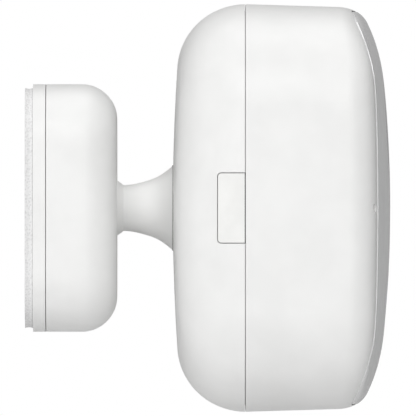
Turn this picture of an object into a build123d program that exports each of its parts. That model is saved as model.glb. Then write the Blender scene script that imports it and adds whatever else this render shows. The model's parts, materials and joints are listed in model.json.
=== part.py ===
from build123d import *
import math
import os

# Video doorbell on a ball-joint wall mount. Millimetres.
# +X points out of the wall towards the visitor, +Z is up, and Y runs across the width.
# The origin is the centre of the adhesive pad's back face, on the wall.

# ---- wall side: pad, plate and base shell ----
BASE_HEIGHT = 49.5
BASE_WIDTH = 46.5
BASE_CORNER = 11.2
PAD_THICKNESS = 1.6
PAD_INSET = 0.7
PLATE_BACK = PAD_THICKNESS
PLATE_FRONT = 4.1
SEAM_GAP = 0.15
BASE_BACK = PLATE_FRONT + SEAM_GAP
BASE_FRONT = 18.3
BASE_EDGE_ROUND = 6.9
BASE_WALL = 2.2
BASE_SCREW_Y = 15.5
BASE_SCREW_Z = 17.0

# ---- ball joint ----
BALL_X = 15.3
BALL_RADIUS = 6.3
BALL_GAP = 0.12
SHOE_WALL = 0.55
SOCKET_RADIUS = 10.2
SOCKET_LIP_X = 16.95
SOCKET_FLANGE_RADIUS = 15.0
SOCKET_SCREW_RADIUS = 12.7

# ---- neck ----
NECK_RADIUS = 4.6
NECK_END = 29.4
NECK_END_RADIUS = 8.4
SPIGOT_RADIUS = 5.0
SPIGOT_END = 34.0
SEAL_RADIUS = 8.6

# ---- head ----
HEAD_WIDTH = 76.0
HEAD_HEIGHT = 81.4
HEAD_CORNER = 19.6
HEAD_BACK = 29.5
BACK_DOME_RADIUS = 435.0
BACK_EDGE_ROUND = 13.3
SHELL_SEAM = 44.0
SHELL_WALL = 2.4
FRONT_DRAFT = 1.7
FRONT_X = 73.15
DOME_RADIUS_ACROSS = 190.0
DOME_RADIUS_UPWARD = 254.0
DOME_SIDE_LIFT = 1.17e-6
DOME_LIFT_REACH = 32.0
DOME_EDGE_WIDTH = 18.0
DOME_EDGE_DROP = 3.35
DOME_EDGE_POWER = 2.6
DOME_GRID = 2.75
FRONT_EDGE_ROUND = 5.5
TONGUE_DEPTH = 2.0
TONGUE_WALL = 1.05

# ---- front panel ----
PANEL_WIDTH = 64.0
PANEL_HEIGHT = 78.4
PANEL_CORNER = 13.0
PANEL_THICKNESS = 1.8
PANEL_GAP = 0.2
PANEL_PROUD = 0.15
TAPE_THICKNESS = 0.25
LEDGE = 2.2
LEDGE_WALL = 1.6

# ---- features of the front panel ----
WINDOW_Z = 16.5
WINDOW_RADIUS = 12.5
WINDOW_BACK = 69.9
PIR_Z = -2.6
PIR_RADIUS = 4.6
BUTTON_Z = -21.0
BUTTON_RADIUS = 9.4
RING_INNER = 9.65
RING_OUTER = 11.2
FIT_GAP = 0.12

# ---- charging port and its cover ----
FLAP_BACK = 38.55
FLAP_FRONT = 43.88
FLAP_HEIGHT = 13.8
FLAP_THICKNESS = 1.4
FLAP_GAP = 0.16
FLAP_CORNER = 0.65
POCKET_FLOOR = -35.4
PORT_X = 41.2
PORT_Z = -1.3
PORT_LONG = 8.94
PORT_SHORT = 3.26
PORT_DEPTH = 9.0
RESET_Z = 5.3
RESET_RADIUS = 0.7

# ---- inside the head ----
CELL_RADIUS = 9.2
CELL_LENGTH = 65.0
CELL_X = 45.6
CELL_Y = 9.8
TRAY_BACK = 35.6
TRAY_FRONT = 54.9
FRAME_BACK = 55.0
BOARD_BACK = 57.2
BOARD_THICKNESS = 1.2
SENSOR_BOARD_BACK = 59.8
FRONT_BOARD_BACK = 62.2
BOSS_Y = 27.2
BOSS_Z = 28.5
BOSS_RADIUS = 3.0
TRAY_BOTTOM = -33.6
TRAY_TOP = 34.3
SPEAKER_X = 55.0
SPEAKER_RADIUS = 9.5
SPEAKER_BOTTOM = -37.2
SPEAKER_TOP = -33.7
MIC_X = 69.85
MIC_Y = -34.15
MIC_LEAN = 27.0
MIC_MOUTH_RADIUS = 0.9
MIC_BORE_RADIUS = 0.4

os.makedirs("parts", exist_ok=True)


def save(name, shape):
    """Writes one sub-part, where the file's name is its node."""
    export_step(shape, f"parts/{name}.step")


def facing_front(x, y=0.0, z=0.0):
    """A drawing plane across X, with its own x along the width and its own y upwards."""
    return Plane(origin=(x, y, z), x_dir=(0, 1, 0), z_dir=(1, 0, 0))


def slab(x0, x1, width, height, corner, y=0.0, z=0.0, draft=0.0):
    """A rounded rectangle across X, drawn out from x0 to x1."""
    outline = facing_front(x0, y, z) * RectangleRounded(width, height, corner)
    return extrude(outline, amount=x1 - x0, taper=draft)


def ring_slab(x0, x1, width, height, corner, wall):
    """A rounded rectangular ring across X."""
    outer = slab(x0, x1, width, height, corner)
    return outer - slab(x0, x1, width - 2 * wall, height - 2 * wall, corner - wall)


def block(low, high):
    """A plain box between two corners."""
    size = [b - a for a, b in zip(low, high)]
    centre = [(a + b) / 2 for a, b in zip(low, high)]
    return Pos(*centre) * Box(*size)


def rod(start, end, radius):
    """A round bar from one point to another."""
    reach = Vector(*end) - Vector(*start)
    return extrude(Plane(origin=start, z_dir=reach) * Circle(radius), amount=reach.length)


def rod_x(x0, x1, radius, y=0.0, z=0.0):
    return rod((x0, y, z), (x1, y, z), radius)


def tube_x(x0, x1, outer, inner, y=0.0, z=0.0):
    return rod_x(x0, x1, outer, y, z) - rod_x(x0, x1, inner, y, z)


def turned(points, y=0.0, z=0.0):
    """A turned piece about X from (x, radius) points."""
    outline = Polyline(*[(x, 0, r) for x, r in points], close=True)
    return Pos(0, y, z) * revolve(make_face(outline), Axis.X)


def screw_x(x0, x1, radius, head_radius, head_depth, y, z):
    """A pan-head screw along X, with its head's top at x0 and its tip at x1."""
    towards = math.copysign(1.0, x1 - x0)
    neck = x0 + towards * head_depth
    return rod((x0, y, z), (neck, y, z), head_radius) + rod((x0, y, z), (x1, y, z), radius)


def corners(y, z):
    return [(a * y, b * z) for a in (-1, 1) for b in (-1, 1)]


# ---------------------------------------------------------------- wall side


def base_pieces():
    pad = slab(
        0, PLATE_BACK, BASE_WIDTH - 2 * PAD_INSET, BASE_HEIGHT - 2 * PAD_INSET, BASE_CORNER - PAD_INSET
    )
    save("adhesive_pad", pad)

    plate = slab(PLATE_BACK, PLATE_FRONT, BASE_WIDTH, BASE_HEIGHT, BASE_CORNER)
    lip_inset = BASE_WALL + 0.15
    plate += ring_slab(
        PLATE_FRONT,
        PLATE_FRONT + 1.6,
        BASE_WIDTH - 2 * lip_inset,
        BASE_HEIGHT - 2 * lip_inset,
        BASE_CORNER - lip_inset,
        1.2,
    )
    for y, z in corners(BASE_SCREW_Y, BASE_SCREW_Z):
        plate -= rod_x(PLATE_BACK, PLATE_FRONT, 1.3, y, z)
        plate -= rod_x(PLATE_BACK, PLATE_BACK + 1.3, 2.4, y, z)
    save("wall_plate", plate)

    shell = slab(BASE_BACK, BASE_FRONT, BASE_WIDTH, BASE_HEIGHT, BASE_CORNER)
    shell = fillet(shell.faces().sort_by(Axis.X)[-1].edges(), BASE_EDGE_ROUND)
    hollow = slab(
        BASE_BACK,
        BASE_FRONT - BASE_WALL,
        BASE_WIDTH - 2 * BASE_WALL,
        BASE_HEIGHT - 2 * BASE_WALL,
        BASE_CORNER - BASE_WALL,
    )
    hollow = fillet(hollow.faces().sort_by(Axis.X)[-1].edges(), BASE_EDGE_ROUND - BASE_WALL)
    shell -= hollow
    for y, z in corners(BASE_SCREW_Y, BASE_SCREW_Z):
        post = rod_x(PLATE_FRONT, BASE_FRONT - BASE_WALL / 2, 2.6, y, z)
        shell += post & slab(PLATE_FRONT, BASE_FRONT - 1, BASE_WIDTH - 2, BASE_HEIGHT - 2, BASE_CORNER)
        shell -= rod_x(PLATE_FRONT, 12.0, 1.05, y, z)
    flange_front = BASE_FRONT - BASE_WALL - 1.5
    for angle in (90, 210, 330):
        y = SOCKET_SCREW_RADIUS * math.cos(math.radians(angle))
        z = SOCKET_SCREW_RADIUS * math.sin(math.radians(angle))
        shell += rod_x(flange_front, BASE_FRONT - 1, 1.9, y, z)
        shell -= rod_x(flange_front, BASE_FRONT - 1.2, 0.85, y, z)
    shell -= rod_x(BASE_BACK, SOCKET_LIP_X + 0.05, 8.3)
    shell -= turned(
        [(SOCKET_LIP_X, 0), (SOCKET_LIP_X, 6.6), (BASE_FRONT, 7.4), (BASE_FRONT + 1, 8.0), (BASE_FRONT + 1, 0)]
    )
    save("base_shell", shell)

    screws = [
        screw_x(PLATE_BACK + 0.1, 11.5, 1.0, 2.2, 1.1, y, z) for y, z in corners(BASE_SCREW_Y, BASE_SCREW_Z)
    ]
    save("base_screws", Compound(screws))


def joint_pieces():
    seat = BALL_RADIUS + BALL_GAP
    ring_front = BASE_FRONT - BASE_WALL - 0.05
    ring_back = ring_front - 1.9
    ring = rod_x(ring_back, ring_front, SOCKET_RADIUS) + rod_x(ring_front - 0.1, SOCKET_LIP_X, 8.1)
    ring -= Pos(BALL_X, 0, 0) * Sphere(seat)
    relief = SHOE_WALL + 2 * BALL_GAP + BALL_RADIUS
    ring -= rod_x(ring_back - 1, BALL_X - 0.2, relief)
    save("socket_ring", ring)

    cup_back = 6.6
    flange_front = BASE_FRONT - BASE_WALL - 1.55
    cup = rod_x(cup_back, ring_back - 0.02, SOCKET_RADIUS)
    cup += rod_x(flange_front - 2.2, flange_front, SOCKET_FLANGE_RADIUS) - rod_x(
        flange_front - 2.2, flange_front, SOCKET_RADIUS
    )
    cup -= rod_x(ring_back - 0.02, flange_front, SOCKET_RADIUS + 0.1)
    cup -= Pos(BALL_X, 0, 0) * Sphere(relief)
    cup -= rod_x(BALL_X - 2.0, BALL_X, relief)
    screws = []
    for angle in (90, 210, 330):
        y = SOCKET_SCREW_RADIUS * math.cos(math.radians(angle))
        z = SOCKET_SCREW_RADIUS * math.sin(math.radians(angle))
        cup -= rod_x(cup_back, flange_front, 0.95, y, z)
        screws.append(screw_x(flange_front - 3.3, BASE_FRONT - 1.4, 0.8, 1.6, 1.1, y, z))
    save("socket_cup", cup)
    save("socket_screws", Compound(screws))

    spring = turned([(4.15, 5.0), (4.55, 5.0), (6.55, 9.0), (6.15, 9.0)])
    save("friction_spring", spring)

    shoe = Pos(BALL_X, 0, 0) * (Sphere(seat + SHOE_WALL) - Sphere(seat))
    shoe &= rod_x(BALL_X - 8, BALL_X - 2.5, 9)
    save("friction_shoe", shoe)


def neck_pieces():
    ball = Pos(BALL_X, 0, 0) * Sphere(BALL_RADIUS)
    neck_start = BALL_X + math.sqrt(BALL_RADIUS**2 - NECK_RADIUS**2)
    outline = Spline(
        (neck_start, 0, NECK_RADIUS),
        (23.4, 0, 5.2),
        (26.6, 0, 6.35),
        (NECK_END, 0, NECK_END_RADIUS),
        tangents=[(1, 0, 0), (1, 0, 0.85)],
    )
    rest = Polyline(
        (NECK_END, 0, NECK_END_RADIUS),
        (NECK_END, 0, 0),
        (BALL_X, 0, 0),
        (BALL_X, 0, NECK_RADIUS),
        (neck_start, 0, NECK_RADIUS),
    )
    flare = revolve(make_face([outline, rest]), Axis.X)
    stem = ball + flare
    stem += rod_x(NECK_END - 0.5, SPIGOT_END, SPIGOT_RADIUS)
    stem -= rod_x(22.0, SPIGOT_END, 1.65)
    save("ball_stem", stem)

    save("neck_seal", tube_x(NECK_END, NECK_END + 0.7, SEAL_RADIUS, SPIGOT_RADIUS + 0.02))
    save("stem_washer", tube_x(SPIGOT_END, SPIGOT_END + 0.5, 7.2, 1.7))
    bolt = screw_x(SPIGOT_END + 1.5, 23.0, 1.6, 3.0, 1.0, 0, 0)
    save("stem_bolt", bolt - rod_x(SPIGOT_END + 0.8, SPIGOT_END + 1.6, 1.2))


# ---------------------------------------------------------------- head shells


def front_height(y, z):
    """X of the front: a shallow dome, flatter at its sides, that turns down towards top and bottom."""
    edge = max(0.0, 1 - (HEAD_HEIGHT / 2 - abs(z)) / DOME_EDGE_WIDTH)
    dome_drop = y * y / (2 * DOME_RADIUS_ACROSS) + z * z / (2 * DOME_RADIUS_UPWARD)
    side_lift = DOME_SIDE_LIFT * (y * z) ** 2 * math.exp(-((z / DOME_LIFT_REACH) ** 6))
    return FRONT_X - dome_drop + side_lift - DOME_EDGE_DROP * edge**DOME_EDGE_POWER


def grid_line(half_length):
    """Evenly spaced places that reach a little past both ends of a length."""
    count = math.ceil(half_length / DOME_GRID) + 2
    return [i * DOME_GRID for i in range(-count, count + 1)]


def under_dome():
    """Everything behind the front dome, as one solid larger than the head."""
    points = [
        [Vector(front_height(y, z), y, z) for z in grid_line(HEAD_HEIGHT / 2)]
        for y in grid_line(HEAD_WIDTH / 2)
    ]
    face = Face.make_surface_from_array_of_points(points, tol=0.01)
    return Solid.extrude(face, Vector(-50, 0, 0))


def front_body():
    """The solid outer shape in front of the seam."""
    walls = slab(SHELL_SEAM, FRONT_X + 3, HEAD_WIDTH, HEAD_HEIGHT, HEAD_CORNER, draft=FRONT_DRAFT)
    body = (walls & under_dome()).solids()[0]
    rim = body.edges().filter_by(lambda e: e.center().X > 62)
    return body.fillet(FRONT_EDGE_ROUND, rim)


def back_body(inset=0.0):
    """The solid outer shape behind the seam, or the same shape set in all round."""
    prism = slab(
        HEAD_BACK - 1 + inset,
        SHELL_SEAM,
        HEAD_WIDTH - 2 * inset,
        HEAD_HEIGHT - 2 * inset,
        HEAD_CORNER - inset,
    )
    radius = BACK_DOME_RADIUS - inset
    dome = Pos(HEAD_BACK + BACK_DOME_RADIUS, 0, 0) * Sphere(radius)
    near = block((HEAD_BACK - 2, -60, -60), (SHELL_SEAM, 60, 60))
    body = (prism & (dome & near)).solids()[0]
    rim = body.edges().filter_by(lambda e: e.center().X < HEAD_BACK + inset + 3)
    return body.fillet(BACK_EDGE_ROUND - inset, rim)


def pocket_outline(x0, x1, y0, y1, grow):
    """The cover's outline through the side wall, larger by grow."""
    return block(
        (x0 - grow, y0, -FLAP_HEIGHT / 2 - grow),
        (x1 + grow, y1, FLAP_HEIGHT / 2 + grow),
    )


def rear_shell():
    outer = back_body() & block((HEAD_BACK - 2, -60, -60), (SHELL_SEAM - SEAM_GAP / 2, 60, 60))
    shell = outer - back_body(SHELL_WALL)
    tongue_inset = SHELL_WALL - TONGUE_WALL
    shell += ring_slab(
        SHELL_SEAM - 2.5,
        SHELL_SEAM + TONGUE_DEPTH,
        HEAD_WIDTH - 2 * tongue_inset,
        HEAD_HEIGHT - 2 * tongue_inset,
        HEAD_CORNER - tongue_inset,
        TONGUE_WALL,
    ) - block((0, -60, -60), (SHELL_SEAM - 2.0, 60, 60))
    port_box = block((FLAP_BACK - 1.9, -40, -8.6), (SHELL_SEAM - 0.13, POCKET_FLOOR + 1.2, 8.6))
    shell += port_box & outer
    pocket = pocket_outline(FLAP_BACK, FLAP_FRONT, -45, POCKET_FLOOR, FLAP_GAP)
    shell -= fillet(pocket.edges().filter_by(Axis.Y).group_by(Axis.X)[0], FLAP_CORNER + FLAP_GAP)
    opening = Plane(origin=(PORT_X, -40, PORT_Z), x_dir=(1, 0, 0), z_dir=(0, 1, 0))
    shell -= extrude(opening * RectangleRounded(PORT_SHORT + 0.3, PORT_LONG + 0.3, 1.6), amount=12)
    shell -= rod((PORT_X, -40, RESET_Z), (PORT_X, -30, RESET_Z), RESET_RADIUS + FIT_GAP)
    hub = rod_x(HEAD_BACK + 1.0, SPIGOT_END - 0.1, 9.5)
    shell += hub & rod_x(HEAD_BACK + 1.0, SHELL_SEAM, 10)
    shell -= rod_x(HEAD_BACK - 1, SPIGOT_END, SPIGOT_RADIUS + 0.08)
    shell -= rod_x(HEAD_BACK - 1, NECK_END + 0.72, SEAL_RADIUS + 0.15)
    for y, z in corners(BOSS_Y, BOSS_Z):
        shell += rod_x(HEAD_BACK + 5.5, SHELL_SEAM - 0.2, BOSS_RADIUS, y, z) & back_body(SHELL_WALL / 2)
        shell -= rod_x(HEAD_BACK + 7.5, SHELL_SEAM, 1.15, y, z)
    return shell


def panel_seat(front, lower):
    """The front shape moved back along X."""
    return Pos(-lower, 0, 0) * front


def mic_point(depth):
    """A point on the microphone hole's axis, which leans out of the rounded front edge."""
    lean = math.radians(MIC_LEAN)
    return (MIC_X - depth * math.cos(lean), MIC_Y + depth * math.sin(lean), 0.0)


def front_shell(front):
    lowered = panel_seat(front, PANEL_PROUD) & block(
        (SHELL_SEAM + SEAM_GAP / 2, -60, -60), (FRONT_X + 1, 60, 60)
    )
    seat = PANEL_THICKNESS + TAPE_THICKNESS
    pocket = slab(
        SHELL_SEAM + 8,
        FRONT_X + 3,
        PANEL_WIDTH + 2 * PANEL_GAP,
        PANEL_HEIGHT + 2 * PANEL_GAP,
        PANEL_CORNER + PANEL_GAP,
    )
    shell = lowered - (pocket - panel_seat(front, seat))
    hollow = slab(
        SHELL_SEAM - 1,
        FRONT_X + 3,
        HEAD_WIDTH - 2 * SHELL_WALL,
        HEAD_HEIGHT - 2 * SHELL_WALL,
        HEAD_CORNER - SHELL_WALL,
        draft=FRONT_DRAFT,
    )
    shell -= hollow & panel_seat(front, seat + LEDGE_WALL)
    shell -= slab(
        SHELL_SEAM + 8,
        FRONT_X + 3,
        PANEL_WIDTH - 2 * LEDGE,
        PANEL_HEIGHT - 2 * LEDGE,
        PANEL_CORNER - LEDGE,
    )
    rabbet_inset = SHELL_WALL - TONGUE_WALL - 0.15
    rabbet_front = SHELL_SEAM + TONGUE_DEPTH + 0.7
    shell -= slab(
        SHELL_SEAM,
        rabbet_front,
        HEAD_WIDTH - 2 * rabbet_inset,
        HEAD_HEIGHT - 2 * rabbet_inset,
        HEAD_CORNER - rabbet_inset,
    )
    for y, z in corners(BOSS_Y, BOSS_Z):
        boss = rod_x(SHELL_SEAM + 0.2, FRONT_X, BOSS_RADIUS, y, z)
        shell += boss & panel_seat(front, seat + LEDGE_WALL / 2)
        shell -= rod_x(SHELL_SEAM, FRONT_X, 1.25, y, z)
        shell -= rod_x(SHELL_SEAM + 6, FRONT_X, 2.2, y, z)
    for i in range(-2, 3):
        x = SPEAKER_X + 3 * i
        shell -= block((x - 0.6, -6.5, -45), (x + 0.6, 6.5, -36))
    shell -= rod(mic_point(-3.0), mic_point(0.9), MIC_MOUTH_RADIUS)
    shell -= rod(mic_point(0.0), mic_point(4.2), MIC_BORE_RADIUS)
    return shell


def front_panel(front):
    outline = slab(SHELL_SEAM + 8, FRONT_X + 3, PANEL_WIDTH, PANEL_HEIGHT, PANEL_CORNER)
    panel = (outline & front) - panel_seat(front, PANEL_THICKNESS)
    panel -= rod_x(SHELL_SEAM, FRONT_X + 3, WINDOW_RADIUS + FIT_GAP, 0, WINDOW_Z)
    panel -= rod_x(SHELL_SEAM, FRONT_X + 3, PIR_RADIUS + FIT_GAP, 0, PIR_Z)
    panel -= rod_x(SHELL_SEAM, FRONT_X + 3, RING_OUTER + FIT_GAP, 0, BUTTON_Z)
    return panel


def shell_pieces():
    front = front_body()
    save("rear_shell", rear_shell())
    save("front_shell", front_shell(front))
    save("front_panel", front_panel(front))

    seat = PANEL_THICKNESS + TAPE_THICKNESS
    tape = ring_slab(
        SHELL_SEAM + 8, FRONT_X, PANEL_WIDTH - 0.6, PANEL_HEIGHT - 0.6, PANEL_CORNER - 0.3, LEDGE - 0.6
    )
    save("panel_tape", (tape & panel_seat(front, PANEL_THICKNESS + 0.01)) - panel_seat(front, seat - 0.01))

    gasket_inset = SHELL_WALL - TONGUE_WALL
    gasket = ring_slab(
        SHELL_SEAM + TONGUE_DEPTH + 0.01,
        SHELL_SEAM + TONGUE_DEPTH + 0.69,
        HEAD_WIDTH - 2 * gasket_inset,
        HEAD_HEIGHT - 2 * gasket_inset,
        HEAD_CORNER - gasket_inset,
        0.95,
    )
    save("shell_gasket", gasket)
    screws = [
        screw_x(SHELL_SEAM + 7.4, HEAD_BACK + 8.5, 1.1, 2.1, 1.3, y, z) for y, z in corners(BOSS_Y, BOSS_Z)
    ]
    save("shell_screws", Compound(screws))

    window = rod_x(WINDOW_BACK, FRONT_X, WINDOW_RADIUS, 0, WINDOW_Z) & front
    save("lens_window", window)
    motion_lens = rod_x(FRONT_X - 2.6, FRONT_X + 1, PIR_RADIUS, 0, PIR_Z) & front
    save("motion_lens", motion_lens - rod_x(FRONT_X - 3.0, FRONT_X - 1.0, PIR_RADIUS - 0.9, 0, PIR_Z))
    ring = tube_x(FRONT_X - 4.4, FRONT_X + 1, RING_OUTER, RING_INNER, 0, BUTTON_Z) & front
    save("light_ring", ring)
    cap = rod_x(FRONT_X - 5.0, FRONT_X + 1, BUTTON_RADIUS, 0, BUTTON_Z) & front
    cap += rod_x(67.4, 68.4, BUTTON_RADIUS + 0.9, 0, BUTTON_Z)
    cap += rod_x(65.8, 67.4, 2.0, 0, BUTTON_Z)
    save("button_cap", cap)

    pocket = pocket_outline(FLAP_BACK, FLAP_FRONT, -45, -30, 0.0)
    pocket = fillet(pocket.edges().filter_by(Axis.Y).group_by(Axis.X)[0], FLAP_CORNER)
    outer = back_body()
    flap = (pocket & outer) - Pos(0, FLAP_THICKNESS, 0) * outer
    lip_start = POCKET_FLOOR - 0.35 - 1.75
    lip_plane = Plane(origin=(PORT_X, lip_start, PORT_Z), x_dir=(1, 0, 0), z_dir=(0, 1, 0))
    lip = RectangleRounded(PORT_SHORT, PORT_LONG, 1.5) - RectangleRounded(2.0, 7.8, 0.9)
    outside = block((0, -60, -60), (60, 0, 60)) - Pos(0, FLAP_THICKNESS / 2, 0) * outer
    flap += extrude(lip_plane * lip, amount=1.75) - outside
    save("port_cover", flap)


# ---------------------------------------------------------------- port and switches


def port_pieces():
    mouth = Plane(origin=(PORT_X, POCKET_FLOOR + 0.1, PORT_Z), x_dir=(1, 0, 0), z_dir=(0, 1, 0))
    case = extrude(mouth * RectangleRounded(PORT_SHORT, PORT_LONG, 1.55), amount=PORT_DEPTH)
    bore = extrude(mouth * RectangleRounded(2.56, 8.34, 1.25), amount=PORT_DEPTH - 1.0)
    save("port_case", case - bore)
    tongue_start = POCKET_FLOOR + 0.9
    tongue = block(
        (PORT_X - 0.35, tongue_start, PORT_Z - 3.3), (PORT_X + 0.35, POCKET_FLOOR + PORT_DEPTH - 0.9, PORT_Z + 3.3)
    )
    save("port_tongue", tongue)
    board_x = PORT_X + PORT_SHORT / 2
    board = block((board_x + 0.02, POCKET_FLOOR + 1.6, -8.0), (board_x + 1.02, POCKET_FLOOR + 13.0, 8.0))
    save("port_board", board)

    button = rod((PORT_X, POCKET_FLOOR + 0.2, RESET_Z), (PORT_X, POCKET_FLOOR + 3.4, RESET_Z), RESET_RADIUS)
    button += rod((PORT_X, POCKET_FLOOR + 1.5, RESET_Z), (PORT_X, POCKET_FLOOR + 2.1, RESET_Z), 1.1)
    save("reset_button", button)
    switch_y = POCKET_FLOOR + 3.8
    switch = block(
        (PORT_X - 1.4, switch_y, RESET_Z - 1.45), (board_x, switch_y + 2.0, RESET_Z + 1.75)
    )
    save("reset_switch", switch)


def lens(flat_x, edge_x, radius, bulge):
    """A lens on the camera's axis: one flat face, and one that bulges away from it."""
    towards = math.copysign(1.0, edge_x - flat_x)
    turns = [math.radians(15 * i) for i in range(7)]
    dome = [(edge_x + towards * bulge * math.sin(a), radius * math.cos(a)) for a in turns[:-1]]
    return turned([(flat_x, 0), (flat_x, radius)] + dome + [(edge_x + towards * bulge, 0)], 0, WINDOW_Z)


def electronics():
    tray = block((TRAY_BACK, -20.6, TRAY_BOTTOM), (TRAY_FRONT, 20.6, TRAY_TOP))
    tray = fillet(tray.faces().sort_by(Axis.X)[0].edges(), 3.0)
    cells = []
    for side in (-1, 1):
        y = side * CELL_Y
        cell = rod((CELL_X, y, -CELL_LENGTH / 2), (CELL_X, y, CELL_LENGTH / 2), CELL_RADIUS)
        cap = rod((CELL_X, y, CELL_LENGTH / 2), (CELL_X, y, CELL_LENGTH / 2 + 0.9), 3.0)
        cells.append(cell)
        room_radius = CELL_RADIUS + 0.25
        room_bottom = -CELL_LENGTH / 2 - 0.4
        room_top = CELL_LENGTH / 2 + 1.0
        tray -= rod((CELL_X, y, room_bottom), (CELL_X, y, room_top), room_radius)
        tray -= block((CELL_X, y - room_radius, room_bottom), (60, y + room_radius, room_top))
        save("battery_cell_left" if side < 0 else "battery_cell_right", cell + cap)
    save("battery_tray", tray)
    contacts = [
        block((CELL_X - 4, side * CELL_Y - 4, -32.88), (CELL_X + 4, side * CELL_Y + 4, -32.52))
        for side in (-1, 1)
    ]
    save("battery_contacts", Compound(contacts))

    frame = slab(FRAME_BACK, FRAME_BACK + 1.2, 44.0, 67.0, 4.0)
    for y, z in corners(18.0, 29.5):
        frame += rod_x(FRAME_BACK + 1.0, BOARD_BACK - 0.02, 2.2, y, z)
        frame -= rod_x(FRAME_BACK, BOARD_BACK, 0.95, y, z)
    save("inner_frame", frame)

    board = slab(BOARD_BACK, BOARD_BACK + BOARD_THICKNESS, 42.0, 65.0, 3.0)
    for y, z in corners(18.0, 29.5):
        board -= rod_x(BOARD_BACK, BOARD_BACK + BOARD_THICKNESS, 1.1, y, z)
    save("main_board", board)
    top = BOARD_BACK + BOARD_THICKNESS
    screws = [screw_x(top + 0.9, FRAME_BACK + 0.2, 0.9, 1.6, 0.88, y, z) for y, z in corners(18.0, 29.5)]
    save("board_screws", Compound(screws))
    shield = block((top + 0.02, -13, -26), (top + 1.8, 13, -2)) - block((top, -12.8, -25.8), (top + 1.6, 12.8, -2.2))
    save("radio_shield", shield)
    chip = block((top + 0.02, -5.5, -20), (top + 1.1, 5.5, -9))
    save("processor", chip)
    save("heat_spreader", block((top + 1.84, -13, -26), (top + 2.6, 13, -2)))
    save("antenna", block((top + 0.02, -19.5, 4), (top + 0.5, -12.5, 26)))

    sensor_top = SENSOR_BOARD_BACK + 0.8
    save("sensor_board", block((SENSOR_BOARD_BACK, -9, WINDOW_Z - 9), (sensor_top, 9, WINDOW_Z + 9)))
    save("image_sensor", block((sensor_top + 0.02, -3.4, WINDOW_Z - 2.6), (sensor_top + 1.0, 3.4, WINDOW_Z + 2.6)))
    holder = slab(sensor_top + 0.02, 65.5, 15.0, 15.0, 1.5, 0, WINDOW_Z)
    holder -= rod_x(sensor_top, 65.5, 6.1, 0, WINDOW_Z)
    save("lens_holder", holder)
    barrel = tube_x(62.6, 69.2, 6.0, 4.9, 0, WINDOW_Z)
    barrel -= rod_x(68.4, 69.3, 5.3, 0, WINDOW_Z)
    save("lens_barrel", barrel)
    save("rear_lens", lens(64.0, 63.0, 4.85, 0.7))
    save("front_lens", lens(66.2, 67.4, 4.85, 1.5))
    infrared_board = tube_x(66.6, 67.4, 11.0, 6.3, 0, WINDOW_Z)
    save("infrared_board", infrared_board)
    lamps = [
        rod_x(67.42, 69.0, 1.5, 8.6 * math.cos(a), WINDOW_Z + 8.6 * math.sin(a))
        for a in (math.pi / 4 + i * math.pi / 2 for i in range(4))
    ]
    save("infrared_lamps", Compound(lamps))
    save("light_baffle", tube_x(69.25, WINDOW_BACK - 0.02, 7.4, 6.0, 0, WINDOW_Z))

    front_board = slab(FRONT_BOARD_BACK, FRONT_BOARD_BACK + 1.0, 28.0, 38.0, 3.0, 0, -14.5)
    save("front_board", front_board)
    board_top = FRONT_BOARD_BACK + 1.02
    save("motion_sensor", rod_x(board_top, 66.6, 4.1, 0, 0.2))
    switch = block((board_top, -3, BUTTON_Z - 3), (64.9, 3, BUTTON_Z + 3)) - rod_x(64.2, 65, 1.5, 0, BUTTON_Z)
    save("button_switch", switch)
    save("switch_plunger", rod_x(64.85, 65.78, 1.35, 0, BUTTON_Z))
    lamps = [
        Pos(board_top + 0.6, 10.6 * math.cos(a), BUTTON_Z + 10.6 * math.sin(a)) * Box(1.2, 1.6, 1.6)
        for a in (i * math.pi / 3 for i in range(6))
    ]
    save("ring_lamps", Compound(lamps))

    speaker = rod((SPEAKER_X, 0, SPEAKER_BOTTOM), (SPEAKER_X, 0, SPEAKER_TOP), SPEAKER_RADIUS)
    speaker -= rod((SPEAKER_X, 0, SPEAKER_BOTTOM - 1), (SPEAKER_X, 0, SPEAKER_BOTTOM + 2.4), SPEAKER_RADIUS - 1.2)
    save("speaker_frame", speaker)
    cone = rod((SPEAKER_X, 0, SPEAKER_BOTTOM + 1.5), (SPEAKER_X, 0, SPEAKER_BOTTOM + 2.38), SPEAKER_RADIUS - 1.25)
    save("speaker_cone", cone)
    mesh = block((SPEAKER_X - 8, -8, SPEAKER_BOTTOM - 0.35), (SPEAKER_X + 7, 8, SPEAKER_BOTTOM - 0.05))
    save("speaker_mesh", mesh)
    save("microphone", block((62.6, -30.6, -1.9), (64.0, -26.9, 1.9)))


base_pieces()
joint_pieces()
neck_pieces()
shell_pieces()
port_pieces()
electronics()
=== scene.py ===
# %% [markdown]
# # A wall-mounted video doorbell
# The CAD model arrives as a fixed frame: every part already has its size and place. This lesson
# gives each part its real finish, remakes the soft and finely detailed parts as meshes, and lights
# the whole as a product on a pale studio table. Everything is in metres, +Z is up, and +X points
# out of the wall towards the visitor.

# %% Load the frame
import json
import math

import bmesh
import bpy
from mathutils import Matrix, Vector
from mathutils.bvhtree import BVHTree


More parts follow.
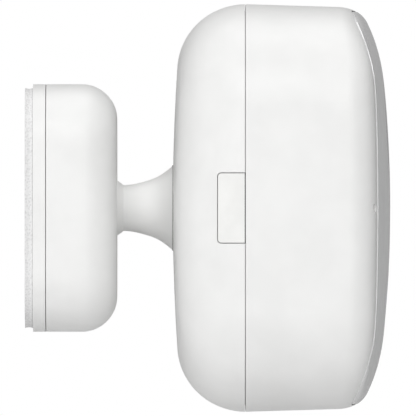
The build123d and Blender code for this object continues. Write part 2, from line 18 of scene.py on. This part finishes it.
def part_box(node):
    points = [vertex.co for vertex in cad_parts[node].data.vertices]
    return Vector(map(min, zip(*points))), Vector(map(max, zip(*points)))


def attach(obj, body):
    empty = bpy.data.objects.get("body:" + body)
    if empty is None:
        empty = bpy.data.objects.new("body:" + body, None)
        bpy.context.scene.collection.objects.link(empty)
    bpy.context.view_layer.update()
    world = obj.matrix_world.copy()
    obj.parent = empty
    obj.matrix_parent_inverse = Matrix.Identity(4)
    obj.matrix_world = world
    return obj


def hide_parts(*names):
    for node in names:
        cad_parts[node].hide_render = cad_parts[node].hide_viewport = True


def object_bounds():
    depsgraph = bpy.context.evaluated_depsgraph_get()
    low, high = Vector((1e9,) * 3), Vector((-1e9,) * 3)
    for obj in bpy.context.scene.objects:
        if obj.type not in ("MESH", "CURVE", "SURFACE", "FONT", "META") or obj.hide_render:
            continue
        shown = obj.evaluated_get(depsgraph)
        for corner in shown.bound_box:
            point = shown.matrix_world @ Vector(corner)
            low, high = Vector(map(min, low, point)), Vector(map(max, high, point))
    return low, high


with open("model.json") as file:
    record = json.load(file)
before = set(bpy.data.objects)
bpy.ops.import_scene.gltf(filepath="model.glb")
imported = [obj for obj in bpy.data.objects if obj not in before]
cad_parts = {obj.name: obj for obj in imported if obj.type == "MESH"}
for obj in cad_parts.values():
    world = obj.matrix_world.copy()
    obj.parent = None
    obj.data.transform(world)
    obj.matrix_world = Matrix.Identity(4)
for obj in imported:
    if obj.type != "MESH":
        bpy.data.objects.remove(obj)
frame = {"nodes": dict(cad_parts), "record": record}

MM = 0.001
nodes = frame["nodes"]
cad_low, cad_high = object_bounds()

# %% [markdown]
# The camera stands level with the doorbell, square to its side. A very long lens from several
# metres away keeps the sides nearly parallel, which is how a flat side view is taken. An orthographic
# camera would do the same, but a long lens also works when someone orbits round the part.

# %% Camera
CAMERA_DISTANCE = 3.6
VIEW_WIDTH = 83.5 * MM
SENSOR_WIDTH = 36.0
CLIP_END = 60.0

middle = Vector(((cad_low[0] + cad_high[0]) / 2, 0.0, 0.0))
camera_data = bpy.data.cameras.new("side_camera")
camera_data.sensor_width = SENSOR_WIDTH
camera_data.lens = SENSOR_WIDTH * CAMERA_DISTANCE / VIEW_WIDTH
camera_data.clip_end = CLIP_END
camera = bpy.data.objects.new("side_camera", camera_data)
camera.location = middle + Vector((0.0, -CAMERA_DISTANCE, 0.0))
camera.rotation_euler = (math.radians(90), 0.0, 0.0)
bpy.context.scene.collection.objects.link(camera)
bpy.context.scene.camera = camera
print("lens:", round(camera_data.lens), "mm at", CAMERA_DISTANCE, "m")

# %% [markdown]
# Paint and plastic colours are usually written as sRGB hex values, as on a colour card. Blender
# works in linear light, so one function turns a hex value into a linear colour.


# %% Colour helper
HOUSING_WHITE = "#EAEAE9"


def linear(hex_colour, alpha=1.0):
    parts = [int(hex_colour[i : i + 2], 16) / 255 for i in (1, 3, 5)]
    return [c / 12.92 if c <= 0.04045 else ((c + 0.055) / 1.055) ** 2.4 for c in parts] + [alpha]


print("white housing is", [round(c, 3) for c in linear(HOUSING_WHITE)[:3]], "in linear light")

# %% [markdown]
# A studio has large soft boxes, so the light wraps round the white shell and no shadow is hard.
# The key stands on the camera's side and a little high, so the top edges are bright and the
# underside falls off. Little light comes from the visitor's side, so the front edge is the
# darkest part. The backdrop is bright white, as for a catalogue picture.

# %% Studio light
scene = bpy.context.scene
scene.view_settings.view_transform = "Standard"
scene.view_settings.look = "None"

# name: (direction from the doorbell, distance in m, side in m, watts)
SOFT_BOXES = {
    "camera_box": ((0.0, -1.0, 0.0), 1.6, 1.2, 8.1),
    "key_box": ((-0.1, -1.0, 0.5), 1.3, 0.9, 7.5),
    "top_box": ((0.0, 0.0, 1.0), 1.2, 0.9, 6.7),
    "wall_side_box": ((-1.0, -0.3, 0.1), 1.2, 0.9, 4.1),
    "visitor_side_box": ((1.0, -0.3, 0.1), 1.3, 0.9, 1.8),
    "back_box": ((0.0, 1.0, 0.2), 1.4, 1.2, 1.2),
}


def soft_box(name, direction, distance, side, watts):
    data = bpy.data.lights.new(name, "AREA")
    data.shape = "SQUARE"
    data.size = side
    data.energy = watts
    lamp = bpy.data.objects.new(name, data)
    towards = Vector(direction).normalized()
    lamp.location = middle + towards * distance
    lamp.rotation_euler = towards.to_track_quat("Z", "Y").to_euler()
    bpy.context.scene.collection.objects.link(lamp)
    return lamp


lamps = [soft_box(name, *facts) for name, facts in SOFT_BOXES.items()]
print("soft boxes:", [lamp.name for lamp in lamps])

# %% [markdown]
# The table is a matt white sheet well below the doorbell, because the real one hangs on a wall or
# a door. The world is plain white behind everything, but it gives only a soft fill, so the boxes
# above shape the form. A Light Path node keeps those two jobs apart.

# %% Table and world
TABLE_DROP = 0.09
TABLE_RADIUS = 0.55
TABLE_SIDES = 96
FILL_STRENGTH = 0.115


def add(tree, kind, inputs=None, **settings):
    """Adds one shader node. inputs holds socket values, or output sockets to link from."""
    node = tree.nodes.new("ShaderNode" + kind)
    for key, value in settings.items():
        setattr(node, key, value)
    for socket, value in (inputs or {}).items():
        if isinstance(value, bpy.types.NodeSocket):
            tree.links.new(value, node.inputs[socket])
        else:
            node.inputs[socket].default_value = value
    return node


world = bpy.data.worlds.new("studio_world")
scene.world = world
world.use_nodes = True
sky = world.node_tree
sky.nodes.clear()
fill = add(sky, "Background", {"Color": linear("#FFFFFF"), "Strength": FILL_STRENGTH})
white = add(sky, "Background", {"Color": linear("#FFFFFF"), "Strength": 1.0})
seen = add(sky, "LightPath")
backdrop = add(sky, "MixShader", {0: seen.outputs["Is Camera Ray"], 1: fill.outputs[0], 2: white.outputs[0]})
add(sky, "OutputWorld", {"Surface": backdrop.outputs[0]})


def mesh_object(name, build):
    """A new object whose mesh is made by build(bm)."""
    bm = bmesh.new()
    build(bm)
    bmesh.ops.recalc_face_normals(bm, faces=bm.faces)
    mesh = bpy.data.meshes.new(name)
    bm.to_mesh(mesh)
    bm.free()
    piece = bpy.data.objects.new(name, mesh)
    bpy.context.scene.collection.objects.link(piece)
    return piece


def table_disc(bm):
    bmesh.ops.create_circle(bm, cap_ends=True, radius=TABLE_RADIUS, segments=TABLE_SIDES)
    bmesh.ops.translate(bm, verts=bm.verts, vec=(middle.x, 0.0, cad_low[2] - TABLE_DROP))


table = mesh_object("studio_table", table_disc)
print("table is", round(TABLE_DROP / MM), "mm under the doorbell")

# %% [markdown]
# Every finish below starts from one Principled shader, because nearly all plastics, rubbers and
# metals differ only in a few of its numbers. Patterns are laid out in object coordinates, which
# are metres here, so a grain of 0.4 mm has a scale of one over 0.0004.


# %% Material helper
def new_finish(name, colour, **numbers):
    """A material with one Principled shader, its numbers set on the shader's own sockets."""
    material = bpy.data.materials.new(name)
    material.use_nodes = True
    tree = material.node_tree
    tree.nodes.clear()
    values = {"Base Color": linear(colour)}
    values.update({key.replace("_", " ").title().replace("Ior", "IOR"): v for key, v in numbers.items()})
    shader = add(tree, "BsdfPrincipled", values)
    add(tree, "OutputMaterial", {"Surface": shader.outputs[0]})
    return material, tree, shader


def grain(tree, size_mm, detail=2.0, squeeze=None):
    """Noise whose blobs are about size_mm across, or longer or shorter where squeeze isn't 1."""
    place = add(tree, "TexCoord").outputs["Object"]
    if squeeze:
        place = add(tree, "Mapping", {"Vector": place, "Scale": squeeze}).outputs[0]
    noise = add(tree, "TexNoise", {"Vector": place, "Scale": 1 / (size_mm * MM), "Detail": detail})
    return noise.outputs["Fac"]


def vary(tree, shader, socket, fac, low, high):
    """Lets a pattern move one number of the shader between low and high."""
    spread = add(tree, "MapRange", {"Value": fac, "To Min": low, "To Max": high})
    tree.links.new(spread.outputs["Result"], shader.inputs[socket])


def tint(tree, shader, fac, dark, light, low=0.35, high=0.65):
    """Lets a pattern move the colour between two hex values."""
    ramp = add(tree, "ValToRGB", {"Fac": fac})
    ramp.color_ramp.elements[0].position = low
    ramp.color_ramp.elements[1].position = high
    ramp.color_ramp.elements[0].color = linear(dark)
    ramp.color_ramp.elements[1].color = linear(light)
    tree.links.new(ramp.outputs["Color"], shader.inputs["Base Color"])


def roughen(tree, shader, fac, height_mm, strength=1.0):
    """Turns a pattern into relief of about height_mm."""
    bump = add(tree, "Bump", {"Height": fac, "Distance": height_mm * MM, "Strength": strength})
    tree.links.new(bump.outputs["Normal"], shader.inputs["Normal"])


print("helpers ready")

# %% [markdown]
# The shells, base and neck are injection-moulded PC/ABS in a neutral white. The mould is spark
# eroded, which leaves a fine even grain: the surface scatters light softly and shows no sharp
# reflection. The true grain is about 0.1 mm, too fine to show, so it is drawn at 0.45 mm. A slow
# second pattern gives the faint unevenness that a moulded wall has.

# %% Moulded white PC/ABS
housing, tree, shader = new_finish("moulded_pc_abs_white", HOUSING_WHITE, roughness=0.46, ior=1.54)
fine = grain(tree, 0.45)
tint(tree, shader, grain(tree, 9.0), "#E8E8E7", "#ECECEB")
vary(tree, shader, "Roughness", fine, 0.42, 0.52)
roughen(tree, shader, fine, 0.006)
print(housing.name)

# %% [markdown]
# The port cover is a soft TPU moulding in the same white. It is a shade warmer and more matt than
# the hard shell round it, which is how such a cover is told from the shell by eye.

# %% Soft white TPU
cover_skin, tree, shader = new_finish("moulded_tpu_white", "#ECECEA", roughness=0.58, ior=1.5)
fine = grain(tree, 0.6)
tint(tree, shader, grain(tree, 4.0), "#EAEAE8", "#EEEEEC")
vary(tree, shader, "Roughness", fine, 0.54, 0.64)
roughen(tree, shader, fine, 0.006)
print(cover_skin.name)

# %% [markdown]
# The domed front is a polished polycarbonate moulding. A polished mould gives a semi-gloss skin
# with a very slight orange peel, so broad lights show in it as soft bright patches.

# %% Semi-gloss white polycarbonate
panel_skin, tree, shader = new_finish(
    "polished_polycarbonate_white", "#E9E9E9", roughness=0.2, ior=1.58, coat_weight=0.3, coat_roughness=0.06
)
peel = grain(tree, 3.0, 1.0)
tint(tree, shader, grain(tree, 14.0), "#E7E7E7", "#EBEBEB")
vary(tree, shader, "Roughness", peel, 0.17, 0.23)
roughen(tree, shader, peel, 0.004, 0.6)
print(panel_skin.name)

# %% [markdown]
# Double-sided mounting foam is closed-cell polyethylene. Its cut edge shows the open halves of the
# cells, as light grey flecks about half a millimetre across.

# %% Closed-cell foam
CELL_SIZE = 0.45 * MM
foam, tree, shader = new_finish("closed_cell_foam_grey", "#DCDCDC", roughness=0.85, ior=1.5)
place = add(tree, "TexCoord")
cells = add(
    tree,
    "TexVoronoi",
    {"Vector": place.outputs["Object"], "Scale": 1 / CELL_SIZE, "Randomness": 1.0},
)
flecks = add(
    tree, "Math", {0: cells.outputs["Distance"], 1: grain(tree, 0.35)}, operation="MULTIPLY"
).outputs[0]
tint(tree, shader, flecks, "#D2D2D2", "#E4E4E4", 0.05, 0.3)
roughen(tree, shader, flecks, 0.04)
print(foam.name)

# %% [markdown]
# The camera looks out through a disc of dark acrylic that passes infrared. It is polished, and
# deep enough in colour that the lens behind it is only just seen.

# %% Dark acrylic window
window_acrylic, tree, shader = new_finish(
    "polished_acrylic_infrared_black",
    "#8C8C98",
    roughness=0.03,
    ior=1.49,
    transmission_weight=0.85,
)
vary(tree, shader, "Roughness", grain(tree, 5.0), 0.02, 0.05)
lens_glass, tree, shader = new_finish(
    "coated_optical_glass", "#C9D2E6", roughness=0.02, ior=1.6, transmission_weight=1.0
)
tint(tree, shader, grain(tree, 6.0), "#B9C6E8", "#D9D2EC")
lamp_epoxy, tree, shader = new_finish(
    "cast_epoxy_clear", "#D8CFD4", roughness=0.08, ior=1.55, transmission_weight=0.9
)
tint(tree, shader, grain(tree, 1.5), "#CFC4CC", "#E4DEE0")
print(window_acrylic.name, lens_glass.name, lamp_epoxy.name)

# %% [markdown]
# The motion lens is thin milky polyethylene, because that passes body heat. The light ring is
# milky polycarbonate. Both let a little light in and scatter it, so they glow softly at their rims.

# %% Milky plastics
LENS_GLOW_DEPTH = 1.0 * MM
RING_GLOW_DEPTH = 1.5 * MM

milky_lens, tree, shader = new_finish(
    "moulded_polyethylene_milky",
    "#E6E6E1",
    roughness=0.4,
    ior=1.54,
    subsurface_weight=0.3,
    subsurface_scale=LENS_GLOW_DEPTH,
)
tint(tree, shader, grain(tree, 1.2), "#E2E2DC", "#EAEAE6")
roughen(tree, shader, grain(tree, 0.5), 0.004)
milky_ring, tree, shader = new_finish(
    "moulded_polycarbonate_milky",
    "#DDE2E8",
    roughness=0.28,
    ior=1.58,
    subsurface_weight=0.4,
    subsurface_scale=RING_GLOW_DEPTH,
)
tint(tree, shader, grain(tree, 1.5), "#D8DEE5", "#E2E6EB")
print(milky_lens.name, milky_ring.name)

# %% [markdown]
# Seals and inner mouldings come next. Silicone is smooth and slightly dusty, foam tape is dead
# matt, acetal is waxy and grey, and glass-filled nylon is black with a faint streak from its fibres.

# %% Seals and inner mouldings
silicone, tree, shader = new_finish("moulded_silicone_grey", "#B4B4B4", roughness=0.55, ior=1.41)
tint(tree, shader, grain(tree, 1.0), "#ADADAD", "#BABABA")
roughen(tree, shader, grain(tree, 0.4), 0.005)
foam_tape, tree, shader = new_finish("foam_tape_black", "#18181A", roughness=0.9, ior=1.5)
tint(tree, shader, grain(tree, 0.4), "#101012", "#242426")
roughen(tree, shader, grain(tree, 0.4), 0.03)
acetal, tree, shader = new_finish("moulded_acetal_grey", "#A9ABAD", roughness=0.38, ior=1.48)
tint(tree, shader, grain(tree, 3.0), "#A3A5A7", "#B0B2B4")
roughen(tree, shader, grain(tree, 0.8), 0.004)
nylon, tree, shader = new_finish("glass_filled_nylon_black", "#1D1D1F", roughness=0.5, ior=1.53)
streaks = grain(tree, 2.5, 3.0, squeeze=(1.0, 6.0, 1.0))
tint(tree, shader, streaks, "#161618", "#27272A")
vary(tree, shader, "Roughness", streaks, 0.4, 0.6)
film, tree, shader = new_finish("formed_polymer_film", "#26262A", roughness=0.3, ior=1.57)
tint(tree, shader, grain(tree, 1.0), "#1F1F23", "#2E2E33")
print(silicone.name, foam_tape.name, acetal.name, nylon.name, film.name)

# %% [markdown]
# Screws and springs are zinc-plated steel and the port case is nickel plated. The plating follows
# the drawn surface, so its roughness runs in short streaks. The heat spreader is rolled aluminium,
# with long straight rolling lines, and the battery contacts are plated brass.


# %% Metals
def metal(name, colour, dark, light, rough_low, rough_high, streak_mm, squeeze_z):
    material, tree, shader = new_finish(name, colour, metallic=1.0, roughness=rough_high)
    lines = grain(tree, streak_mm, 4.0, squeeze=(1.0, 1.0, squeeze_z))
    tint(tree, shader, lines, dark, light)
    vary(tree, shader, "Roughness", lines, rough_low, rough_high)
    roughen(tree, shader, lines, 0.003)
    return material


zinc = metal("zinc_plated_steel", "#B9BCC0", "#A9ACB1", "#C6C8CB", 0.22, 0.38, 0.5, 0.5)
nickel = metal("nickel_plated_steel", "#C8C5BE", "#BAB7B0", "#D2CFC8", 0.15, 0.28, 0.4, 0.4)
rolled = metal("rolled_aluminium", "#CFD0D2", "#C4C5C7", "#D9DADB", 0.25, 0.4, 0.3, 0.05)
brass = metal("plated_brass", "#D8B86A", "#C9A95C", "#E2C47A", 0.2, 0.32, 0.5, 0.5)
print(zinc.name, nickel.name, rolled.name, brass.name)

# %% [markdown]
# A circuit board is woven glass in epoxy under a green solder mask. Copper tracks lie under the
# mask and show as slightly lighter lines, here round cells of 1.2 mm by 0.6 mm. A battery cell
# wears a shrunk sleeve, glossy and faintly wavy.

# %% Circuit board and cell sleeve
TRACK_PATTERN = 2.4 * MM

board_mask, tree, shader = new_finish(
    "solder_mask_green", "#1B5B3A", roughness=0.32, ior=1.55, coat_weight=0.4
)
place = add(tree, "TexCoord")
tracks = add(
    tree,
    "TexBrick",
    {
        "Vector": place.outputs["Object"],
        "Scale": 1 / TRACK_PATTERN,
        "Mortar Size": 0.04,
        "Color1": linear("#1B5B3A"),
        "Color2": linear("#1F6340"),
        "Mortar": linear("#3C8A5E"),
    },
)
tree.links.new(tracks.outputs["Color"], shader.inputs["Base Color"])
roughen(tree, shader, tracks.outputs["Fac"], 0.02)
sleeve, tree, shader = new_finish("shrunk_pvc_sleeve_blue", "#2F6FA8", roughness=0.22, ior=1.53)
tint(tree, shader, grain(tree, 8.0), "#2A679E", "#3678B2")
roughen(tree, shader, grain(tree, 4.0), 0.02)
print(board_mask.name, sleeve.name)

# %% [markdown]
# The record of the part says which finish each CAD piece has, by a slot name. One table here ties
# each slot to its material, so a piece added later gets its finish without another line.

# %% Give every CAD piece its finish
FINISH_OF_SLOT = {
    "foam_pad": foam,
    "housing_white": housing,
    "panel_gloss": panel_skin,
    "cover_white": cover_skin,
    "window_black": window_acrylic,
    "lens_glass": lens_glass,
    "lens_milky": milky_lens,
    "ring_milky": milky_ring,
    "lamp_clear": lamp_epoxy,
    "seal_grey": silicone,
    "seal_black": foam_tape,
    "inner_grey": acetal,
    "inner_black": nylon,
    "screw_steel": zinc,
    "port_steel": nickel,
    "contact_brass": brass,
    "spreader_alu": rolled,
    "board_green": board_mask,
    "cell_wrap": sleeve,
    "cone_film": film,
}
for part in frame["record"]["subparts"]:
    mesh = nodes[part["node"]].data
    mesh.materials.clear()
    mesh.materials.append(FINISH_OF_SLOT[part["material_slot"]])
table_paper, tree, shader = new_finish("matt_paper_white", "#EDEDED", roughness=0.9, ior=1.5)
tint(tree, shader, grain(tree, 2.0), "#EBEBEB", "#EFEFEF")
table.data.materials.append(table_paper)

# %% [markdown]
# The foam pad is cut from sheet with a die. The blade presses the edge in a little, so the edge
# bows, and the outline is never quite even. It is built as rings of points round a rounded
# rectangle: one at each flat face, and five between them that bow inwards and wander slightly.

# %% Foam pad
PAD_RINGS = 7
PAD_BOW = 0.12 * MM
PAD_WANDER = 0.05 * MM
PAD_CORNER = 10.5 * MM
PAD_MARGIN = 0.06 * MM
WANDER_STEPS = (0.61, 0.23)
CORNER_STEPS = 16
EDGE_STEPS = 40


def rounded_outline(width, height, corner):
    """Points round a rounded rectangle, as (y, z), with its straight sides divided too."""
    points = []
    for turn in range(4):
        cy = (width / 2 - corner) * (1 if turn in (0, 3) else -1)
        cz = (height / 2 - corner) * (1 if turn in (0, 1) else -1)
        for step in range(CORNER_STEPS + 1):
            angle = math.radians(90 * (turn + step / CORNER_STEPS))
            points.append((cy + corner * math.cos(angle), cz + corner * math.sin(angle)))
        ny = (width / 2 - corner) * (1 if (turn + 1) % 4 in (0, 3) else -1)
        nz = (height / 2 - corner) * (1 if (turn + 1) % 4 in (0, 1) else -1)
        last = math.radians(90 * (turn + 1))
        a = (cy + corner * math.cos(last), cz + corner * math.sin(last))
        b = (ny + corner * math.cos(last), nz + corner * math.sin(last))
        for step in range(1, EDGE_STEPS):
            t = step / EDGE_STEPS
            points.append((a[0] + t * (b[0] - a[0]), a[1] + t * (b[1] - a[1])))
    return points


def build_pad(bm):
    low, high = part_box("adhesive_pad")
    width, height, thick = high.y - low.y, high.z - low.z, high.x - low.x
    rings = []
    for level in range(PAD_RINGS):
        t = level / (PAD_RINGS - 1)
        pull = PAD_BOW * math.sin(math.pi * t) + PAD_MARGIN
        outline = rounded_outline(width - 2 * pull, height - 2 * pull, PAD_CORNER)
        ring = []
        for i, (y, z) in enumerate(outline):
            swings = [math.sin(i * step + turn * level) for step, turn in zip(WANDER_STEPS, (1, 2))]
            wave = min(1 + PAD_WANDER / width * sum(swings), 1.0)
            ring.append(bm.verts.new((low.x + t * thick, y * wave, z * wave)))
        rings.append(ring)
    for lower, upper in zip(rings, rings[1:]):
        count = len(lower)
        for i in range(count):
            bm.faces.new((lower[i], lower[(i + 1) % count], upper[(i + 1) % count], upper[i]))
    bm.faces.new(rings[0])
    bm.faces.new(reversed(rings[-1]))


pad = mesh_object("foam_adhesive_pad", build_pad)
pad.data.materials.append(foam)
for face in pad.data.polygons:
    face.use_smooth = len(face.vertices) == 4
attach(pad, "wall_base")
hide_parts("adhesive_pad")
print("pad has", len(pad.data.polygons), "faces")

# %% [markdown]
# The four round details of the front need softer edges and finer relief than a machined solid
# has. Each is laid over its own CAD piece: rings of points are dropped on to that piece's front
# with a ray cast along X, then lowered by a small profile, so the new mesh follows the dome
# exactly. The rest of the profile runs down the side and closes the back.

# %% Round pieces laid over the front
ROUND_STEPS = 96
RAY_START = 0.2
PROBE_INSET = 0.06 * MM
SMOOTH_ANGLE = 35
RIM_STEPS = 5


def front_of(node):
    """A function that finds the front surface of a CAD node at a place (y, z)."""
    tree = BVHTree.FromObject(nodes[node], bpy.context.evaluated_depsgraph_get())

    def height(y, z):
        hit = tree.ray_cast(Vector((RAY_START, y, z)), Vector((-1.0, 0.0, 0.0)))[0]
        return hit.x if hit else None

    return height


def laid_over(node, profile, back):
    """Builds rings about the node's centre. profile is (radius, drop) pairs on its front, from
    the inside out, and back is (radius, x) pairs that lead round behind. All are in metres."""
    low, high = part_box(node)
    cy, cz = (low.y + high.y) / 2, (low.z + high.z) / 2
    height = front_of(node)
    inner, outer = profile[0][0], profile[-1][0]

    def build(bm):
        rings = []
        for radius, drop, x in [(r, d, None) for r, d in profile] + [(r, 0.0, x) for r, x in back]:
            ring = []
            for step in range(ROUND_STEPS if radius > 0 else 1):
                angle = 2 * math.pi * step / ROUND_STEPS
                y, z = cy + radius * math.cos(angle), cz + radius * math.sin(angle)
                if x is None:
                    probe = min(radius, outer - PROBE_INSET)
                    probe = max(probe, inner + PROBE_INSET) if inner > 0 else probe
                    front = height(cy + probe * math.cos(angle), cz + probe * math.sin(angle))
                    ring.append(bm.verts.new((front - drop, y, z)))
                else:
                    ring.append(bm.verts.new((x, y, z)))
            rings.append(ring)
        closed = profile[0][0] > 0
        for a, b in zip(rings, rings[1:] + (rings[:1] if closed else [])):
            for i in range(ROUND_STEPS):
                j = (i + 1) % ROUND_STEPS
                corners = [a[i % len(a)], a[j % len(a)], b[j % len(b)], b[i % len(b)]]
                bm.faces.new(list(dict.fromkeys(corners)))

    return build


def front_piece(name, node, body, slot, profile, back):
    piece = mesh_object(name, laid_over(node, profile, back))
    piece.data.materials.append(FINISH_OF_SLOT[slot])
    for face in piece.data.polygons:
        face.use_smooth = True
    piece.data.set_sharp_from_angle(angle=math.radians(SMOOTH_ANGLE))
    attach(piece, body)
    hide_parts(node)
    print(name, "has", len(piece.data.polygons), "faces")


def rounded_rim(radius, size):
    """Profile points that roll over an outer edge in a quarter circle."""
    turns = [math.radians(90 * k / RIM_STEPS) for k in range(RIM_STEPS + 1)]
    return [(radius - size * (1 - math.sin(t)), size * (1 - math.cos(t))) for t in turns]


# %% [markdown]
# The bell button has a shallow dish for the fingertip and a rounded rim. Behind its face a flange
# keeps it in, and a short stem reaches the switch. The dish is a cosine, so it has no edge.

# %% Bell button
DISH_RADIUS = 7.6 * MM
DISH_DEPTH = 0.35 * MM
RIM_ROUND = 0.4 * MM
DISH_STEPS = 8
FLANGE_WIDTH = 0.9 * MM
FLANGE_FRONT = 2.6 * MM
FLANGE_BACK = 1.6 * MM
STEM_RADIUS = 2.0 * MM

low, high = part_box("button_cap")
flange = (high.y - low.y) / 2
face_radius = flange - FLANGE_WIDTH
dish = [
    (DISH_RADIUS * k / DISH_STEPS, DISH_DEPTH * (0.5 + 0.5 * math.cos(math.pi * k / DISH_STEPS)))
    for k in range(DISH_STEPS + 1)
]
button_back = [
    (face_radius, low.x + FLANGE_FRONT),
    (flange, low.x + FLANGE_FRONT),
    (flange, low.x + FLANGE_BACK),
    (STEM_RADIUS, low.x + FLANGE_BACK),
    (STEM_RADIUS, low.x),
    (0.0, low.x),
]
front_piece(
    "bell_button_cap", "button_cap", "bell_button", "panel_gloss",
    dish + rounded_rim(face_radius, RIM_ROUND), button_back,
)

# %% [markdown]
# The light ring round the button is a milky light guide. Its face is crowned like a tyre, half a
# millimetre high, so it catches the light as one thin bright line.

# %% Light ring
RING_WIDTH = 1.55 * MM
RING_CROWN = 0.5 * MM
RING_STEPS = 10

low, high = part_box("light_ring")
ring_outer = (high.y - low.y) / 2
ring_inner = ring_outer - RING_WIDTH
ring_face = [
    (ring_inner + RING_WIDTH * k / RING_STEPS, RING_CROWN * (2 * k / RING_STEPS - 1) ** 2)
    for k in range(RING_STEPS + 1)
]
front_piece(
    "light_guide_ring", "light_ring", "head", "ring_milky",
    ring_face, [(ring_outer, low.x), (ring_inner, low.x)],
)

# %% [markdown]
# The motion lens is moulded with fine circular steps, a Fresnel lens, which bends body heat on to
# the sensor. Each step slopes down slowly from the middle outwards and then rises sharply. Real
# steps are finer than can show here, so nine coarser ones are drawn, and the rim is rounded.

# %% Motion lens
STEP_COUNT = 9
STEP_DEPTH = 0.2 * MM
STEP_TOP = 0.02 * MM
STEP_SLOPE_SHARE = 0.8
STEP_BAND = 0.85
LENS_RIM_ROUND = 0.3 * MM
HOLLOW_DEPTH = 1.6 * MM
LENS_WALL = 0.9 * MM

low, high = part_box("motion_lens")
lens_radius = (high.y - low.y) / 2
step_width = lens_radius * STEP_BAND / STEP_COUNT
fresnel = [(0.0, STEP_TOP)]
for k in range(STEP_COUNT):
    fresnel.append(((k + STEP_SLOPE_SHARE) * step_width, STEP_DEPTH))
    fresnel.append(((k + 1.0) * step_width, STEP_TOP))
hollow_radius = lens_radius - LENS_WALL
lens_back = [
    (lens_radius, low.x),
    (hollow_radius, low.x),
    (hollow_radius, low.x + HOLLOW_DEPTH),
    (0.0, low.x + HOLLOW_DEPTH),
]
front_piece(
    "fresnel_motion_lens", "motion_lens", "head", "lens_milky",
    fresnel + rounded_rim(lens_radius, LENS_RIM_ROUND), lens_back,
)

# %% [markdown]
# The camera window is one disc of dark acrylic with a polished, rounded rim. The rim is what shows
# the edge of a black window against the pale panel.

# %% Camera window
WINDOW_STEPS = 10
WINDOW_FACE_SHARE = 0.96
WINDOW_RIM_ROUND = 0.35 * MM

low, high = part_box("lens_window")
window_radius = (high.y - low.y) / 2
window_face = [
    (window_radius * k / WINDOW_STEPS * WINDOW_FACE_SHARE, 0.0) for k in range(WINDOW_STEPS + 1)
]
front_piece(
    "camera_window", "lens_window", "head", "window_black",
    window_face + rounded_rim(window_radius, WINDOW_RIM_ROUND), [(window_radius, low.x), (0.0, low.x)],
)
